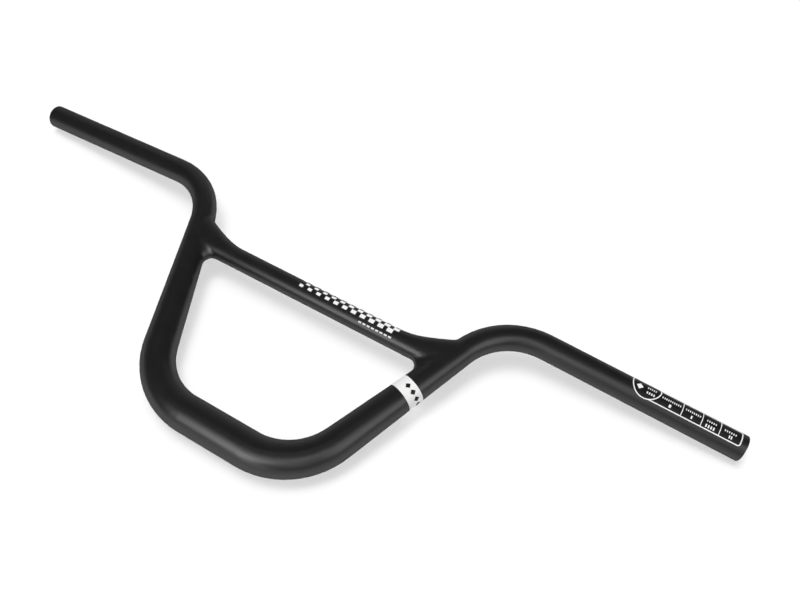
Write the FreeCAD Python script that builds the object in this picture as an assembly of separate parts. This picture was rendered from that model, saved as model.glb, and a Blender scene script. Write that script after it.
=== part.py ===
# A one-piece hollow BMX handlebar, lying front side up on a flat surface.
# Millimetres. X runs along the stem clamp, Y from the clamp to the grips, Z up.
# The origin is the centre of the clamp section.
import FreeCAD
import Part
import math
import os

# Overall form
OVERALL_WIDTH = 723.9        # between the centres of the two ends
RISE = 203.2                 # clamp axis to the centre of a grip's end
BACKSWEEP = 5.0              # degrees that the grips turn back
UPSWEEP = 1.0                # degrees that the grips turn up
LEG_ANGLE = 68.4             # degrees between a leg and the clamp axis

# Main tube
CLAMP_DIAMETER = 31.8
CLAMP_LENGTH = 58.0          # straight stretch that a stem holds
LEG_FOOT_DIAMETER = 28.8     # tube at the top of the lower bend
GRIP_DIAMETER = 22.2         # also the upper bend
LOWER_BEND_RADIUS = 63.0     # to the tube's centre line
UPPER_BEND_RADIUS = 63.0     # to the tube's centre line
WALL = 2.6                   # thicker at the clamp, where the bore stays straight
END_BEVEL = 0.6              # outer edge of each open end

# Crossbar
CROSSBAR_DIAMETER = 18.7
CROSSBAR_DROP = 60.8         # its axis below the grips' ends
FLARE_LENGTH = 50.0          # stretch that grows towards the leg
FLARE_RISE = 16.0            # growth of the upper edge at the leg
FLARE_END_SLOPE = 0.42       # climb of the upper edge at the leg
FLARE_INSET = 0.4            # front and back end this far inside the leg's surface
ROOT_ROUNDING = 8.5          # where the crossbar meets the leg
FLARE_SECTIONS = 5           # stretches between the sections that shape the flare

TOUCHING = 1e-3

V = FreeCAD.Vector
ORIGIN = V(0, 0, 0)
ALONG_X = V(1, 0, 0)

clamp_radius = CLAMP_DIAMETER / 2
foot_radius = LEG_FOOT_DIAMETER / 2
grip_radius = GRIP_DIAMETER / 2
crossbar_radius = CROSSBAR_DIAMETER / 2

# Centre line of the right half, in the plane of the clamp and the legs
leg_angle = math.radians(LEG_ANGLE)
leg_direction = V(math.cos(leg_angle), math.sin(leg_angle), 0)
up_slope = math.tan(math.radians(UPSWEEP))
back_slope = math.tan(math.radians(BACKSWEEP))
grip_direction = V(1, up_slope, -back_slope).normalize()

lower_reach = LOWER_BEND_RADIUS * math.tan(leg_angle / 2)
lower_corner = V(CLAMP_LENGTH / 2 + lower_reach, 0, 0)
half_width = OVERALL_WIDTH / 2
leg_run = (RISE - (half_width - lower_corner.x) * up_slope) / (
    leg_direction.y - leg_direction.x * up_slope)
upper_corner = lower_corner + leg_direction * leg_run
upper_turn = leg_direction.getAngle(grip_direction)
upper_reach = UPPER_BEND_RADIUS * math.tan(upper_turn / 2)

clamp_end = V(CLAMP_LENGTH / 2, 0, 0)
leg_foot = lower_corner + leg_direction * lower_reach
leg_top = upper_corner - leg_direction * upper_reach
grip_start = upper_corner + grip_direction * upper_reach
grip_end = upper_corner + grip_direction * ((half_width - upper_corner.x) / grip_direction.x)
leg_length = (leg_top - leg_foot).Length
grip_length = (grip_end - grip_start).Length


def disc_wire(centre, normal, radius):
    return Part.Wire(Part.Circle(centre, normal, radius).toShape())


def bend(start, start_direction, end_direction, bend_radius, radius):
    """A tube bend of even thickness between two directions."""
    axis = start_direction.cross(end_direction).normalize()
    centre = start + axis.cross(start_direction) * bend_radius
    disc = Part.Face(disc_wire(start, start_direction, radius))
    return disc.revolve(centre, axis, math.degrees(start_direction.getAngle(end_direction)))


def tapered_lower_bend():
    """The bend from the clamp section up into the leg, thinner at the leg."""
    half_turn = leg_angle / 2
    middle = clamp_end + V(LOWER_BEND_RADIUS * math.sin(half_turn),
                           LOWER_BEND_RADIUS * (1 - math.cos(half_turn)), 0)
    spine = Part.Wire(Part.Arc(clamp_end, middle, leg_foot).toShape())
    foot = disc_wire(ORIGIN, ALONG_X, foot_radius)
    foot.rotate(ORIGIN, V(0, 0, 1), LEG_ANGLE)
    foot.translate(leg_foot)
    return spine.makePipeShell([disc_wire(clamp_end, ALONG_X, clamp_radius), foot], True, False)


def upper_tube(inset):
    """Leg, upper bend and grip of the right half, drawn in by an inset."""
    grip = grip_radius - inset
    leg = Part.makeCone(foot_radius - inset, grip, leg_length, leg_foot, leg_direction)
    turn = bend(leg_top, leg_direction, grip_direction, UPPER_BEND_RADIUS, grip)
    straight = Part.makeCylinder(grip, grip_length, grip_start, grip_direction)
    return [leg, turn, straight]


def half_tube():
    """Outer form of the right half of the main tube."""
    clamp = Part.makeCylinder(clamp_radius, CLAMP_LENGTH / 2, ORIGIN, ALONG_X)
    return clamp.multiFuse([tapered_lower_bend()] + upper_tube(0))


# Crossbar: its axis, and where the middle of its flared end meets the leg's axis
crossbar_height = RISE - CROSSBAR_DROP
crossing_height = crossbar_height + FLARE_RISE / 2
crossing = lower_corner + leg_direction * (crossing_height / leg_direction.y)
crossing_share = (crossing - leg_foot).Length / leg_length
crossing_radius = foot_radius + (grip_radius - foot_radius) * crossing_share
flare_start = crossing.x - FLARE_LENGTH


def eased(share, end_value, end_slope):
    """Cubic growth that starts level and ends at a given value and slope."""
    third = end_value - end_slope / 3
    return 3 * (1 - share) * share ** 2 * third + share ** 3 * end_value


def flare_ring(share):
    """Section of the flare: the crossbar's round edges, parted by a flat web."""
    rise = eased(share, FLARE_RISE, FLARE_END_SLOPE * FLARE_LENGTH)
    depth_growth = crossing_radius - FLARE_INSET - crossbar_radius
    half_depth = crossbar_radius + eased(share, depth_growth, 0)
    poles = []
    weights = []
    # A circle of eight spans, begun at its upper back, with its upper half lifted by the rise
    for i in range(17):
        step = (i + 6) % 16
        angle = math.pi * step / 8
        weight = math.cos(math.pi / 8) if i % 2 else 1.0
        lift = rise / 2 if step in (0, 8) else rise * (step < 8)
        poles.append(V(flare_start + share * FLARE_LENGTH,
                       crossbar_height + lift + crossbar_radius * math.sin(angle) / weight,
                       half_depth * math.cos(angle) / weight))
        weights.append(weight)
    section = Part.BSplineCurve()
    section.buildFromPolesMultsKnots(poles, [3] + [2] * 7 + [3], list(range(9)), False, 2, weights)
    return Part.Wire(section.toShape())


def half_crossbar():
    """Right half of the crossbar, with the flare that runs into the leg."""
    rod = Part.makeCylinder(crossbar_radius, flare_start, V(0, crossbar_height, 0), ALONG_X)
    rings = [flare_ring(i / FLARE_SECTIONS) for i in range(FLARE_SECTIONS + 1)]
    return rod.fuse(Part.makeLoft(rings, True))


def lies_on(point, shape):
    return Part.Vertex(point).distToShape(shape.Shells[0])[0] < TOUCHING


def half_skin():
    """Outer form of the right half, rounded at the crossbar's root, bevelled at the end."""
    tube = half_tube()
    crossbar = half_crossbar()
    skin = tube.fuse(crossbar)
    root = []
    for edge in skin.Edges:
        middle = edge.valueAt((edge.FirstParameter + edge.LastParameter) / 2)
        if lies_on(middle, tube) and lies_on(middle, crossbar):
            root.append(edge)
    skin = skin.makeFillet(ROOT_ROUNDING, root)
    rims = [edge for edge in skin.Edges if edge.CenterOfMass.isEqual(grip_end, TOUCHING)]
    return skin.makeChamfer(END_BEVEL, rims)


def half_hollow():
    """The bore of the right half: even through the clamp, then following the leg."""
    bore_radius = foot_radius - WALL
    clamp = Part.makeCylinder(bore_radius, CLAMP_LENGTH / 2, ORIGIN, ALONG_X)
    turn = bend(clamp_end, ALONG_X, leg_direction, LOWER_BEND_RADIUS, bore_radius)
    crossbar_axis = V(0, crossbar_height, 0)
    crossbar = Part.makeCylinder(crossbar_radius - WALL, crossing.x, crossbar_axis, ALONG_X)
    return clamp.multiFuse([turn, crossbar] + upper_tube(WALL))


def both_sides(half):
    return half.fuse(half.mirror(ORIGIN, ALONG_X)).removeSplitter()


def rest_tilt():
    """Angle about X at which the clamp and both grip ends lie on one plane."""
    tilt = 0.0
    bevel_start = grip_end - grip_direction * END_BEVEL
    reach = math.hypot(bevel_start.y, bevel_start.z)
    for _ in range(5):
        lean = grip_direction.y * math.sin(tilt) + grip_direction.z * math.cos(tilt)
        below = grip_radius * math.sqrt(1 - lean ** 2)
        tilt = math.atan2(-bevel_start.z, bevel_start.y)
        tilt += math.asin((below - clamp_radius) / reach)
    return tilt


def handlebar():
    return both_sides(half_skin()).cut(both_sides(half_hollow()))


os.makedirs("parts", exist_ok=True)
bar = handlebar()
bar.rotate(ORIGIN, ALONG_X, math.degrees(rest_tilt()))
bar.exportStep("parts/handlebar.step")
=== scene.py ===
import bmesh
import bpy
import math
from mathutils import Euler, Matrix, Vector


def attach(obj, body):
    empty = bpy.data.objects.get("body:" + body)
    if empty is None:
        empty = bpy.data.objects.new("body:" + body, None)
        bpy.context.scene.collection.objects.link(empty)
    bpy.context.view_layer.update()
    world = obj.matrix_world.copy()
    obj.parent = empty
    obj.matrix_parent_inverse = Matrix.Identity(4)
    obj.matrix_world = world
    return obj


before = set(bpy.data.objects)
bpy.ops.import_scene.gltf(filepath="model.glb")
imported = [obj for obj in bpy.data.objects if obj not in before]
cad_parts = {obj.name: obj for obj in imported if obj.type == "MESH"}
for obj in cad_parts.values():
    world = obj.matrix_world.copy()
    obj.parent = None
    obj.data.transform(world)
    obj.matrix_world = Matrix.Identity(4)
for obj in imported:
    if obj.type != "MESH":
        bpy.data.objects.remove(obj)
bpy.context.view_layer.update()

# The bar lies front side up, tilted about X until its clamp and both ends touch the floor
REST_TILT = math.radians(3.82041)
FLOOR_HEIGHT = -0.0159
FLOOR_SIZE = 60.0  # far enough that the floor meets the horizon


def laid(x, y, z):
    """A point or direction drawn in the plane of the clamp and legs, as the bar lies."""
    return Matrix.Rotation(REST_TILT, 3, "X") @ Vector((x, y, z))


class Tube:
    """A straight stretch of tube that print is wrapped on: its start, axis and thickness."""

    def __init__(self, start, along, radius, growth=0.0):
        self.start = start
        self.along = along.normalized()
        front = laid(0, 0, 1)
        self.front = (front - self.along * front.dot(self.along)).normalized()
        self.side = self.front.cross(self.along)
        self.radius = radius
        self.growth = growth


# The three stretches that carry print, in metres, in the plane of the clamp and legs
LEG_ANGLE = math.radians(68.4)
LEG_FOOT = (0.0875759, 0.0398082, 0)
LEG_FOOT_RADIUS = 0.0144
LEG_TAPER = -0.025447        # growth of the radius along the leg
BAND_START = 0.0622          # from the leg's foot
BAND_WIDTH = 0.0139
CROSSBAR_HEIGHT = 0.1424
CROSSBAR_RADIUS = 0.00935
GRIP_END = (0.36195, 0.2032, -0.0184725)
GRIP_RADIUS = 0.0111
BACKSWEEP = math.radians(5)
UPSWEEP = math.radians(1)

leg_axis = laid(math.cos(LEG_ANGLE), math.sin(LEG_ANGLE), 0)
leg = Tube(laid(*LEG_FOOT) + leg_axis * BAND_START, leg_axis,
           LEG_FOOT_RADIUS + LEG_TAPER * BAND_START, LEG_TAPER)
crossbar = Tube(laid(0, CROSSBAR_HEIGHT, 0), Vector((1, 0, 0)), CROSSBAR_RADIUS)
right_grip = Tube(laid(*GRIP_END), laid(1, math.tan(UPSWEEP), -math.tan(BACKSWEEP)), GRIP_RADIUS)

# Print is a closed skin, sunk a little into the bar so that no edge stands off it
INK_SINK = 0.0002
INK_LIFT = 0.00005
OVERPRINT_LIFT = 0.00009
CRISP_ANGLE = 0.6            # radians between faces past which an edge is sharp


def add_node(tree, kind, place, **settings):
    """A node at a place in its tree, with its settings."""
    node = tree.nodes.new(kind)
    node.location = (place[0] * 180, place[1] * -160)
    for name, value in settings.items():
        setattr(node, name, value)
    return node


def wire(tree, source, target):
    tree.links.new(source, target)


# Materials

def fine_grain_group():
    """Two sizes of noise on object coordinates: a slow mottle and a fine height."""
    group = bpy.data.node_groups.new("fine_grain", "ShaderNodeTree")
    for name in ("Mottle Scale", "Grain Scale"):
        group.interface.new_socket(name, in_out="INPUT", socket_type="NodeSocketFloat")
    for name in ("Mottle", "Grain"):
        group.interface.new_socket(name, in_out="OUTPUT", socket_type="NodeSocketFloat")
    given = add_node(group, "NodeGroupInput", (-3, 1))
    result = add_node(group, "NodeGroupOutput", (2, 0))
    coords = add_node(group, "ShaderNodeTexCoord", (-3, 0))
    for row, name in enumerate(("Mottle", "Grain")):
        noise = add_node(group, "ShaderNodeTexNoise", (-1, row))
        noise.inputs["Detail"].default_value = 3.0
        noise.inputs["Roughness"].default_value = 0.55
        wire(group, coords.outputs["Object"], noise.inputs["Vector"])
        wire(group, given.outputs[name + " Scale"], noise.inputs["Scale"])
        wire(group, noise.outputs["Fac"], result.inputs[name])
    return group


fine_grain = fine_grain_group()


def grained(name, dark, light, rough_low, rough_high, mottle_scale, grain_scale, grain_depth):
    """A material whose tone and gloss drift slowly over a fine, shallow grain."""
    material = bpy.data.materials.new(name)
    material.use_nodes = True
    tree = material.node_tree
    shader = tree.nodes["Principled BSDF"]
    grain = add_node(tree, "ShaderNodeGroup", (-5, 0), node_tree=fine_grain)
    grain.inputs["Mottle Scale"].default_value = mottle_scale
    grain.inputs["Grain Scale"].default_value = grain_scale
    tone = add_node(tree, "ShaderNodeValToRGB", (-3, -1))
    tone.color_ramp.elements[0].position = 0.3
    tone.color_ramp.elements[0].color = (*dark, 1)
    tone.color_ramp.elements[1].position = 0.7
    tone.color_ramp.elements[1].color = (*light, 1)
    gloss = add_node(tree, "ShaderNodeMapRange", (-3, 1))
    gloss.inputs["To Min"].default_value = rough_low
    gloss.inputs["To Max"].default_value = rough_high
    wire(tree, grain.outputs["Mottle"], tone.inputs["Fac"])
    wire(tree, grain.outputs["Mottle"], gloss.inputs["Value"])
    wire(tree, tone.outputs["Color"], shader.inputs["Base Color"])
    wire(tree, gloss.outputs["Result"], shader.inputs["Roughness"])
    if grain_depth > 0:
        bump = add_node(tree, "ShaderNodeBump", (-3, 3))
        bump.inputs["Strength"].default_value = 1.0
        bump.inputs["Distance"].default_value = grain_depth
        wire(tree, grain.outputs["Grain"], bump.inputs["Height"])
        wire(tree, bump.outputs["Normal"], shader.inputs["Normal"])
    return material, shader


def satin_black():
    """The moulded bar: near-black, satin, with a fine even grain and a duller look at its edges."""
    material, shader = grained("satin_black", (0.0045, 0.0046, 0.0048), (0.0065, 0.0066, 0.0069),
                               0.31, 0.37, 70.0, 2600.0, 0.000004)
    tree = material.node_tree
    gloss = shader.inputs["Roughness"].links[0].from_socket
    slant = add_node(tree, "ShaderNodeLayerWeight", (-5, 2))
    slant.inputs["Blend"].default_value = 0.5
    duller = add_node(tree, "ShaderNodeMapRange", (-1, 2))
    duller.inputs["From Min"].default_value = 0.3
    duller.inputs["To Max"].default_value = 1.0
    wire(tree, slant.outputs["Facing"], duller.inputs["Value"])
    wire(tree, gloss, duller.inputs["To Min"])
    wire(tree, duller.outputs["Result"], shader.inputs["Roughness"])
    return material


def white_ink():
    return grained("white_ink", (0.85, 0.85, 0.84), (0.90, 0.90, 0.89),
                   0.40, 0.50, 220.0, 5200.0, 0.000004)[0]


def black_ink():
    """Printed black: flatter and deeper than the bar around it."""
    material, shader = grained("black_ink", (0.0016, 0.0016, 0.0017), (0.0026, 0.0026, 0.0028),
                               0.48, 0.58, 220.0, 5200.0, 0.000004)
    shader.inputs["Specular IOR Level"].default_value = 0.3
    return material


def white_floor():
    """White paper: seen directly or in a gloss it is lifted to white, and it keeps shadows."""
    material, shader = grained("white_floor", (0.89, 0.89, 0.89), (0.90, 0.90, 0.90),
                               0.9, 1.0, 3.0, 40.0, 0.0)
    tree = material.node_tree
    shader.inputs["Specular IOR Level"].default_value = 0.0
    shader.inputs["Emission Color"].default_value = (1, 1, 1, 1)
    path = add_node(tree, "ShaderNodeLightPath", (-6, 5))
    direct = add_node(tree, "ShaderNodeMath", (-5, 5), operation="MAXIMUM")
    any_view = add_node(tree, "ShaderNodeMath", (-4, 5), operation="MAXIMUM")
    lift = add_node(tree, "ShaderNodeMath", (-3, 5), operation="MULTIPLY")
    lift.inputs[1].default_value = FLOOR_LIFT
    wire(tree, path.outputs["Is Camera Ray"], direct.inputs[0])
    wire(tree, path.outputs["Is Glossy Ray"], direct.inputs[1])
    wire(tree, direct.outputs[0], any_view.inputs[0])
    wire(tree, path.outputs["Is Transmission Ray"], any_view.inputs[1])
    wire(tree, any_view.outputs[0], lift.inputs[0])
    wire(tree, lift.outputs[0], shader.inputs["Emission Strength"])
    return material


# Print: flat layouts, x along the tube and y around it, wrapped by Geometry Nodes

def new_tree(name, inputs):
    """A Geometry Nodes tree with named inputs between its group input and output."""
    tree = bpy.data.node_groups.new(name, "GeometryNodeTree")
    tree.interface.new_socket("Geometry", in_out="INPUT", socket_type="NodeSocketGeometry")
    for label, kind in inputs.items():
        tree.interface.new_socket(label, in_out="INPUT", socket_type="NodeSocket" + kind)
    tree.interface.new_socket("Geometry", in_out="OUTPUT", socket_type="NodeSocketGeometry")
    return tree, add_node(tree, "NodeGroupInput", (-8, 0)), add_node(tree, "NodeGroupOutput", (8, 0))


def math_node(tree, place, operation, first, second):
    node = add_node(tree, "ShaderNodeMath", place, operation=operation)
    for socket, value in zip(node.inputs, (first, second)):
        if isinstance(value, (int, float)):
            socket.default_value = value
        elif value is not None:
            wire(tree, value, socket)
    return node.outputs[0]


def vector_node(tree, place, operation, first, second):
    node = add_node(tree, "ShaderNodeVectorMath", place, operation=operation)
    wire(tree, first, node.inputs[0])
    wire(tree, second, node.inputs["Scale"] if operation == "SCALE" else node.inputs[1])
    return node.outputs[0]


def wrap_print_tree():
    """Gives a flat layout its thickness, closes it and wraps it on a straight, tapering tube."""
    tree, given, result = new_tree("wrap_print", {
        "Start": "Vector", "Along": "Vector", "Front": "Vector", "Side": "Vector",
        "Radius": "Float", "Growth": "Float", "Sink": "Float", "Lift": "Float",
        "Ink": "Material"})
    value = given.outputs
    thickness = math_node(tree, (-7, 2), "ADD", value["Sink"], value["Lift"])
    rise = add_node(tree, "ShaderNodeCombineXYZ", (-6, 2))
    wire(tree, thickness, rise.inputs["Z"])
    top = add_node(tree, "GeometryNodeExtrudeMesh", (-5, 0), mode="FACES")
    top.inputs["Individual"].default_value = False
    underside = add_node(tree, "GeometryNodeFlipFaces", (-5, 2))
    whole = add_node(tree, "GeometryNodeJoinGeometry", (-4, 0))
    closed = add_node(tree, "GeometryNodeMergeByDistance", (-3, 0))
    closed.inputs["Distance"].default_value = 1e-6
    wire(tree, value["Geometry"], top.inputs["Mesh"])
    wire(tree, rise.outputs[0], top.inputs["Offset"])
    wire(tree, value["Geometry"], underside.inputs["Mesh"])
    wire(tree, top.outputs["Mesh"], whole.inputs[0])
    wire(tree, underside.outputs["Mesh"], whole.inputs[0])
    wire(tree, whole.outputs[0], closed.inputs["Geometry"])
    # Each point's distance along, angle around and reach from the axis
    flat = add_node(tree, "ShaderNodeSeparateXYZ", (-6, 5))
    wire(tree, add_node(tree, "GeometryNodeInputPosition", (-7, 5)).outputs[0], flat.inputs[0])
    grown = math_node(tree, (-5, 4), "MULTIPLY", flat.outputs["X"], value["Growth"])
    surface = math_node(tree, (-4, 4), "ADD", grown, value["Radius"])
    height = math_node(tree, (-5, 5), "SUBTRACT", flat.outputs["Z"], value["Sink"])
    reach = math_node(tree, (-3, 4), "ADD", surface, height)
    angle = math_node(tree, (-5, 6), "DIVIDE", flat.outputs["Y"], value["Radius"])
    to_front = math_node(tree, (-2, 5), "MULTIPLY", reach, math_node(tree, (-4, 6), "COSINE", angle, None))
    to_side = math_node(tree, (-2, 6), "MULTIPLY", reach, math_node(tree, (-4, 7), "SINE", angle, None))
    place = vector_node(tree, (-1, 4), "SCALE", value["Along"], flat.outputs["X"])
    place = vector_node(tree, (0, 4), "ADD", place, value["Start"])
    outward = vector_node(tree, (-1, 5), "SCALE", value["Front"], to_front)
    sideways = vector_node(tree, (-1, 6), "SCALE", value["Side"], to_side)
    place = vector_node(tree, (1, 4), "ADD", place, outward)
    place = vector_node(tree, (2, 4), "ADD", place, sideways)
    wrapped = add_node(tree, "GeometryNodeSetPosition", (3, 0))
    wire(tree, closed.outputs[0], wrapped.inputs["Geometry"])
    wire(tree, place, wrapped.inputs["Position"])
    # Smooth along the tube, crisp at the print's edges
    smooth = add_node(tree, "GeometryNodeSetShadeSmooth", (4, 0), domain="FACE")
    corner = add_node(tree, "GeometryNodeInputMeshEdgeAngle", (3, 2))
    sharp = math_node(tree, (4, 2), "GREATER_THAN", corner.outputs["Unsigned Angle"],
                      CRISP_ANGLE)
    crisp = add_node(tree, "GeometryNodeSetShadeSmooth", (5, 0), domain="EDGE")
    crisp.inputs["Shade Smooth"].default_value = False
    real = add_node(tree, "GeometryNodeRealizeInstances", (6, 0))
    inked = add_node(tree, "GeometryNodeSetMaterial", (7, 0))
    wire(tree, wrapped.outputs[0], smooth.inputs["Geometry"])
    wire(tree, smooth.outputs[0], crisp.inputs["Geometry"])
    wire(tree, sharp, crisp.inputs["Selection"])
    wire(tree, crisp.outputs[0], real.inputs[0])
    wire(tree, real.outputs[0], inked.inputs["Geometry"])
    wire(tree, value["Ink"], inked.inputs["Material"])
    wire(tree, inked.outputs[0], result.inputs[0])
    return tree


def repeat_marks_tree():
    """Rows of one rectangular mark, with a shift on every other row, a turn and a fade in size."""
    tree, given, result = new_tree("repeat_marks", {
        "Columns": "Int", "Rows": "Int", "Pitch Along": "Float", "Pitch Around": "Float",
        "Row Shift": "Float", "Mark Length": "Float", "Mark Width": "Float", "Turn": "Float",
        "First Mark": "Vector", "Fade": "Float"})
    value = given.outputs
    mark = add_node(tree, "GeometryNodeMeshGrid", (-6, 2))
    mark.inputs["Vertices X"].default_value = 4
    mark.inputs["Vertices Y"].default_value = 4
    wire(tree, value["Mark Length"], mark.inputs["Size X"])
    wire(tree, value["Mark Width"], mark.inputs["Size Y"])
    total = math_node(tree, (-7, 4), "MULTIPLY", value["Columns"], value["Rows"])
    points = add_node(tree, "GeometryNodePoints", (-5, 0))
    wire(tree, total, points.inputs["Count"])
    # Column and row of each mark from its index
    index = add_node(tree, "GeometryNodeInputIndex", (-7, 5)).outputs[0]
    lap = math_node(tree, (-6, 5), "DIVIDE", index, value["Columns"])
    row = math_node(tree, (-5, 5), "FLOOR", lap, None)
    column = math_node(tree, (-6, 6), "MODULO", index, value["Columns"])
    odd = math_node(tree, (-4, 5), "MODULO", row, 2)
    across = math_node(tree, (-4, 6), "MULTIPLY", column, value["Pitch Along"])
    shift = math_node(tree, (-3, 5), "MULTIPLY", odd, value["Row Shift"])
    spot = add_node(tree, "ShaderNodeCombineXYZ", (-1, 5))
    wire(tree, math_node(tree, (-2, 5), "ADD", across, shift), spot.inputs["X"])
    wire(tree, math_node(tree, (-2, 6), "MULTIPLY", row, value["Pitch Around"]), spot.inputs["Y"])
    wire(tree, vector_node(tree, (0, 5), "ADD", spot.outputs[0], value["First Mark"]),
         points.inputs["Position"])
    # Marks grow from the faded size to full size over the columns
    share = math_node(tree, (-4, 7), "DIVIDE", column, value["Columns"])
    shrink = math_node(tree, (-3, 7), "MULTIPLY", math_node(tree, (-4, 8), "SUBTRACT", 1.0, share),
                       value["Fade"])
    size = math_node(tree, (-2, 7), "SUBTRACT", 1.0, shrink)
    turn = add_node(tree, "ShaderNodeCombineXYZ", (-2, 3))
    wire(tree, value["Turn"], turn.inputs["Z"])
    marks = add_node(tree, "GeometryNodeInstanceOnPoints", (1, 0))
    real = add_node(tree, "GeometryNodeRealizeInstances", (3, 0))
    wire(tree, points.outputs[0], marks.inputs["Points"])
    wire(tree, mark.outputs["Mesh"], marks.inputs["Instance"])
    wire(tree, turn.outputs[0], marks.inputs["Rotation"])
    wire(tree, size, marks.inputs["Scale"])
    wire(tree, marks.outputs[0], real.inputs[0])
    wire(tree, real.outputs[0], result.inputs[0])
    return tree


wrap_print = wrap_print_tree()
repeat_marks = repeat_marks_tree()


def give_tree(piece, tree, values):
    """Adds a Geometry Nodes modifier and sets its named inputs."""
    modifier = piece.modifiers.new(tree.name, "NODES")
    modifier.node_group = tree
    for item in tree.interface.items_tree:
        if item.in_out == "INPUT" and item.name in values:
            modifier[item.identifier] = values[item.name]


def bake(name, mesh, trees):
    """A new piece whose node trees are turned into a plain mesh."""
    source = bpy.data.objects.new(name + "_layout", mesh)
    bpy.context.collection.objects.link(source)
    for tree, values in trees:
        give_tree(source, tree, values)
    result = bpy.data.meshes.new_from_object(source.evaluated_get(bpy.context.evaluated_depsgraph_get()))
    bpy.data.objects.remove(source)
    piece = bpy.data.objects.new(name, result)
    result.name = name
    bpy.context.collection.objects.link(piece)
    return piece


def on_tube(tube, ink, lift):
    """Values that wrap a layout on a tube in one ink."""
    return {"Start": tube.start, "Along": tube.along, "Front": tube.front, "Side": tube.side,
            "Radius": tube.radius, "Growth": tube.growth, "Sink": INK_SINK, "Lift": lift, "Ink": ink}


def print_marks(name, tube, ink, lift, marks):
    """Wraps rows of one repeated mark."""
    trees = [(repeat_marks, marks), (wrap_print, on_tube(tube, ink, lift))]
    return bake(name, bpy.data.meshes.new(name), trees)


def print_layout(name, tube, ink, lift, faces_of):
    """Wraps a layout drawn by a function that adds flat faces to a bmesh."""
    drawing = bmesh.new()
    faces_of(drawing)
    bmesh.ops.recalc_face_normals(drawing, faces=drawing.faces)
    if sum(face.normal.z * face.calc_area() for face in drawing.faces) < 0:
        bmesh.ops.reverse_faces(drawing, faces=drawing.faces)
    mesh = bpy.data.meshes.new(name)
    drawing.to_mesh(mesh)
    drawing.free()
    return bake(name, mesh, [(wrap_print, on_tube(tube, ink, lift))])


def ribbon(drawing, points, width, closed=False):
    """A line of even width along flat points."""
    count = len(points)
    left, right = [], []
    for i, point in enumerate(points):
        before = points[i - 1] if closed or i > 0 else point
        after = points[(i + 1) % count] if closed or i < count - 1 else point
        way = (after - before).normalized()
        across = Vector((-way.y, way.x)) * width / 2
        left.append(drawing.verts.new((*(point + across), 0)))
        right.append(drawing.verts.new((*(point - across), 0)))
    for i in range(count if closed else count - 1):
        j = (i + 1) % count
        drawing.faces.new((left[i], right[i], right[j], left[j]))


def straight(start, end, step=0.0012):
    """Points along a straight line, both ends included."""
    start, end = Vector(start), Vector(end)
    count = max(1, round((end - start).length / step))
    return [start.lerp(end, i / count) for i in range(count + 1)]


def arc(centre, radius, from_degrees, to_degrees, count):
    """Points along an arc, both ends included."""
    turn = to_degrees - from_degrees
    angles = [math.radians(from_degrees + turn * i / count) for i in range(count + 1)]
    return [Vector((centre[0] + radius * math.cos(a), centre[1] + radius * math.sin(a))) for a in angles]


# The panel near the right-hand end, measured in from the end and around from the front
PANEL_LOW = -0.0053
PANEL_HIGH = 0.0088
PANEL_END = -0.0062
PANEL_CORNER = 0.0018
BADGE_CENTRE = Vector((-0.0860, 0.0060))
BADGE_RADIUS = 0.0120
CELL_LINES = (-0.0549, -0.0385, -0.0235)
OUTLINE_WIDTH = 0.0009
CELL_LINE_WIDTH = 0.0006


def badge_edge(y):
    """Where the badge's right side is at a height around the tube."""
    return BADGE_CENTRE.x + math.sqrt(BADGE_RADIUS ** 2 - (y - BADGE_CENTRE.y) ** 2)


def patch(drawing, place, columns, rows):
    """A sheet of quads whose points a function of two shares from 0 to 1 places."""
    points = [[drawing.verts.new((*place(i / columns, j / rows), 0)) for i in range(columns + 1)]
              for j in range(rows + 1)]
    for lower, upper in zip(points, points[1:]):
        for i in range(columns):
            drawing.faces.new((lower[i], lower[i + 1], upper[i + 1], upper[i]))


def panel_field(drawing):
    """The black ground: a round badge, and cells with rounded corners beside it."""
    def badge(u, v):
        u, v = 2 * u - 1, 2 * v - 1
        in_disc = Vector((u * math.sqrt(1 - v * v / 2), v * math.sqrt(1 - u * u / 2)))
        return BADGE_CENTRE + in_disc * BADGE_RADIUS

    def cells(u, v):
        y = PANEL_LOW + (PANEL_HIGH - PANEL_LOW) * v
        into_corner = max(0.0, PANEL_LOW + PANEL_CORNER - y, y - PANEL_HIGH + PANEL_CORNER)
        right = PANEL_END - PANEL_CORNER + math.sqrt(max(0.0, PANEL_CORNER ** 2 - into_corner ** 2))
        left = badge_edge(y)
        return Vector((left + (right - left) * u, y))

    patch(drawing, badge, 24, 24)
    patch(drawing, cells, 20, 30)


def panel_lines(drawing):
    """The outline, the cell lines and the badge's ring."""
    corner_x = PANEL_END - PANEL_CORNER
    outline = straight((badge_edge(PANEL_LOW), PANEL_LOW), (corner_x, PANEL_LOW), 0.004)[:-1]
    outline += arc((corner_x, PANEL_LOW + PANEL_CORNER), PANEL_CORNER, -90, 0, 8)[:-1]
    outline += straight((PANEL_END, PANEL_LOW + PANEL_CORNER), (PANEL_END, PANEL_HIGH - PANEL_CORNER))[:-1]
    outline += arc((corner_x, PANEL_HIGH - PANEL_CORNER), PANEL_CORNER, 0, 90, 8)[:-1]
    outline += straight((corner_x, PANEL_HIGH), (badge_edge(PANEL_HIGH), PANEL_HIGH), 0.004)
    ribbon(drawing, outline, OUTLINE_WIDTH)
    for x in CELL_LINES:
        ribbon(drawing, straight((x, PANEL_LOW), (x, PANEL_HIGH)), CELL_LINE_WIDTH)
    ribbon(drawing, arc(BADGE_CENTRE, BADGE_RADIUS, 0, 360, 64)[:-1], OUTLINE_WIDTH, closed=True)


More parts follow.
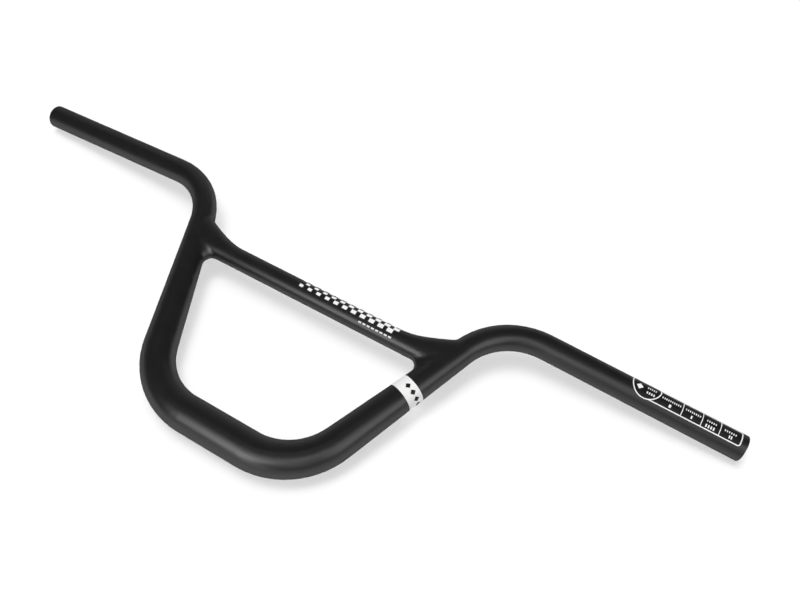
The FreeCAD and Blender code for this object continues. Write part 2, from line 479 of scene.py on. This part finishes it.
# Rows of plain dashes in the panel: first dash, count, pitch, length and width of a dash
PANEL_ROWS = {
    "cell_1_label": ((-0.0721, 0.0022), 10, 0.00165, 0.0008, 0.0018),
    "cell_1_value": ((-0.0648, -0.0021), 1, 0.0, 0.0018, 0.0026),
    "cell_2_label": ((-0.0523, 0.0022), 8, 0.00165, 0.0008, 0.0018),
    "cell_2_value": ((-0.0467, -0.0021), 1, 0.0, 0.0012, 0.0026),
    "cell_3_label": ((-0.0346, 0.0020), 5, 0.00175, 0.0008, 0.0018),
    "cell_3_value": ((-0.0345, -0.0024), 4, 0.0021, 0.0011, 0.0026),
    "cell_4_label": ((-0.0200, 0.0016), 6, 0.00175, 0.0008, 0.0018),
    "cell_4_value": ((-0.0155, -0.0021), 2, 0.0017, 0.0010, 0.0026),
    "badge_row_1": ((-0.0848, 0.0042), 5, 0.0016, 0.0008, 0.0018),
    "badge_row_2": ((-0.0846, -0.0004), 4, 0.0019, 0.0010, 0.0020),
}


BAND_STEPS = 96


def leg_band(ink):
    """The white band: a thin closed ring that follows the leg's taper."""
    drawing = bmesh.new()
    profile = [(0, -INK_SINK), (BAND_WIDTH, -INK_SINK), (BAND_WIDTH, OVERPRINT_LIFT), (0, OVERPRINT_LIFT)]
    rings = []
    for i in range(BAND_STEPS):
        angle = 2 * math.pi * i / BAND_STEPS
        outward = leg.front * math.cos(angle) + leg.side * math.sin(angle)
        points = [leg.start + leg.along * x + outward * (leg.radius + leg.growth * x + z) for x, z in profile]
        rings.append([drawing.verts.new(point) for point in points])
    for ring, after in zip(rings, rings[1:] + rings[:1]):
        for k in range(4):
            n = (k + 1) % 4
            face = drawing.faces.new((ring[k], ring[n], after[n], after[k]))
            face.smooth = True
    bmesh.ops.recalc_face_normals(drawing, faces=drawing.faces)
    for edge in drawing.edges:
        edge.smooth = edge.calc_face_angle() < CRISP_ANGLE
    mesh = bpy.data.meshes.new("leg_band")
    drawing.to_mesh(mesh)
    drawing.free()
    mesh.materials.append(ink)
    piece = bpy.data.objects.new("leg_band", mesh)
    bpy.context.collection.objects.link(piece)
    return piece


def print_bar():
    """All print on the bar, by the ink it takes."""
    white = white_ink()
    black = black_ink()
    around_leg = 2 * math.pi * leg.radius
    light = [
        leg_band(white),
        print_marks("crossbar_checks", crossbar, white, INK_LIFT, {
            "Columns": 11, "Rows": 3, "Pitch Along": 0.0088, "Pitch Around": 0.0043, "Row Shift": 0.0044,
            "Mark Length": 0.0056, "Mark Width": 0.0042, "First Mark": (-0.0130, 0.0006, 0), "Fade": 0.35}),
        print_marks("crossbar_dashes", crossbar, white, INK_LIFT, {
            "Columns": 8, "Rows": 1, "Pitch Along": 0.0041, "Mark Length": 0.0028, "Mark Width": 0.0013,
            "First Mark": (0.0490, -0.0050, 0)}),
        print_layout("panel_lines", right_grip, white, OVERPRINT_LIFT, panel_lines),
        print_marks("badge_diamond", right_grip, white, OVERPRINT_LIFT, {
            "Columns": 1, "Rows": 1, "Mark Length": 0.0040, "Mark Width": 0.0040, "Turn": math.radians(45),
            "First Mark": (-0.0916, 0.0022, 0)}),
    ]
    for name, (first, count, pitch, length, width) in PANEL_ROWS.items():
        light.append(print_marks(name, right_grip, white, OVERPRINT_LIFT, {
            "Columns": count, "Rows": 1, "Pitch Along": pitch, "Mark Length": length, "Mark Width": width,
            "First Mark": (*first, 0)}))
    dark = [
        print_layout("panel_field", right_grip, black, INK_LIFT, panel_field),
        print_marks("band_diamonds", leg, black, OVERPRINT_LIFT + INK_LIFT, {
            "Columns": 1, "Rows": 7, "Pitch Around": around_leg / 12, "Mark Length": 0.0036,
            "Mark Width": 0.0036, "Turn": math.radians(45), "First Mark": (0.0082, -around_leg / 2, 0)}),
    ]
    for slot_name, pieces in (("white_print", light), ("panel_print", dark)):
        for piece in pieces:
            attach(piece, "root")


# The stage

def lay_floor():
    drawing = bmesh.new()
    bmesh.ops.create_grid(drawing, x_segments=8, y_segments=8, size=FLOOR_SIZE)
    bmesh.ops.translate(drawing, verts=drawing.verts, vec=(0, 0, FLOOR_HEIGHT))
    mesh = bpy.data.meshes.new("floor")
    drawing.to_mesh(mesh)
    drawing.free()
    mesh.materials.append(white_floor())
    floor = bpy.data.objects.new("floor", mesh)
    bpy.context.collection.objects.link(floor)


BAR_MIDDLE = Vector((0.0, 0.1, 0.0))

# Softboxes near the bar: azimuth, elevation, width and height in degrees, and brightness
SOFTBOXES = {
    "key_softbox": (-12, 25, 24, 18, 6.30),
    "front_softbox": (-8, 40, 40, 14, 4.50),
    "crown_softbox": (0, 55, 50, 16, 1.60),
    "low_softbox": (0, 7, 30, 14, 1.80),
    "corner_softbox": (36, 28, 24, 28, 1.15),
    "side_softbox": (82, 30, 36, 32, 2.45),
    "shoulder_softbox": (60, 55, 36, 18, 1.80),
    "top_softbox": (0, 84, 40, 40, 0.12),
    "back_softbox": (-150, 24, 60, 34, 0.25),
}
SOFTBOX_DISTANCE = 1.0

# Lamps that throw the shadow: azimuth, elevation and strength
SHADOW_LAMPS = (("side_lamp", -82, 78, 0.74), ("upper_lamp", -150, 74, 0.44))
SHADOW_SOFTNESS = math.radians(24)
LAMP_DISTANCE = 6.0

# An even fill without shadow from four sides
FILL_AZIMUTHS = (45, 135, 225, 315)
FILL_ELEVATION = 45
FILL_STRENGTH = 0.60
WORLD_STRENGTH = 0.14
FLOOR_LIFT = 0.10


def hang_lamp(data, azimuth, elevation, distance):
    """Places a lamp around the bar, facing its middle: azimuth 0 is -Y, 90 is +X."""
    a = math.radians(azimuth)
    e = math.radians(elevation)
    way = Vector((math.sin(a) * math.cos(e), -math.cos(a) * math.cos(e), math.sin(e)))
    lamp = bpy.data.objects.new(data.name, data)
    lamp.location = BAR_MIDDLE + way * distance
    lamp.rotation_euler = way.to_track_quat("Z", "Y").to_euler()
    bpy.context.collection.objects.link(lamp)
    return lamp


def softbox(name, azimuth, elevation, width, height, brightness):
    """A flat lamp close to the bar, which its gloss shows and which lights nothing else."""
    data = bpy.data.lights.new(name, "AREA")
    data.shape = "RECTANGLE"
    data.size = 2 * SOFTBOX_DISTANCE * math.tan(math.radians(width / 2))
    data.size_y = 2 * SOFTBOX_DISTANCE * math.tan(math.radians(height / 2))
    data.energy = brightness * math.pi * data.size * data.size_y
    data.use_shadow = False
    hang_lamp(data, azimuth, elevation, SOFTBOX_DISTANCE).visible_diffuse = False


def light_floor():
    """Two high lamps that throw the shadow, and the fill."""
    for name, azimuth, elevation, strength in SHADOW_LAMPS:
        data = bpy.data.lights.new(name, "SUN")
        data.angle = SHADOW_SOFTNESS
        data.energy = strength
        hang_lamp(data, azimuth, elevation, LAMP_DISTANCE).visible_glossy = False
    for azimuth in FILL_AZIMUTHS:
        data = bpy.data.lights.new("fill_lamp", "SUN")
        data.angle = 0.0
        data.energy = FILL_STRENGTH
        data.use_shadow = False
        hang_lamp(data, azimuth, FILL_ELEVATION, LAMP_DISTANCE).visible_glossy = False


def light_studio():
    light_floor()
    for name, values in SOFTBOXES.items():
        softbox(name, *values)
    world = bpy.data.worlds.new("studio")
    world.use_nodes = True
    world.node_tree.nodes["Background"].inputs["Color"].default_value = (1, 1, 1, 1)
    world.node_tree.nodes["Background"].inputs["Strength"].default_value = WORLD_STRENGTH
    bpy.context.scene.world = world


def set_camera():
    data = bpy.data.cameras.new("camera")
    data.sensor_width = 36
    data.lens = 35.763
    data.shift_x = 0.0405
    data.shift_y = 0.0044
    data.clip_start = 0.01
    camera = bpy.data.objects.new("camera", data)
    camera.location = (0.23652, -0.17189, 0.57607)
    camera.rotation_euler = Euler([math.radians(a) for a in (34.2108, -0.4657, 30.9585)])
    bpy.context.collection.objects.link(camera)
    bpy.context.scene.camera = camera


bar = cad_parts["handlebar"]
bar.data.materials.clear()
bar.data.materials.append(satin_black())
print_bar()
lay_floor()
light_studio()
set_camera()
bpy.context.scene.view_settings.view_transform = "Standard"
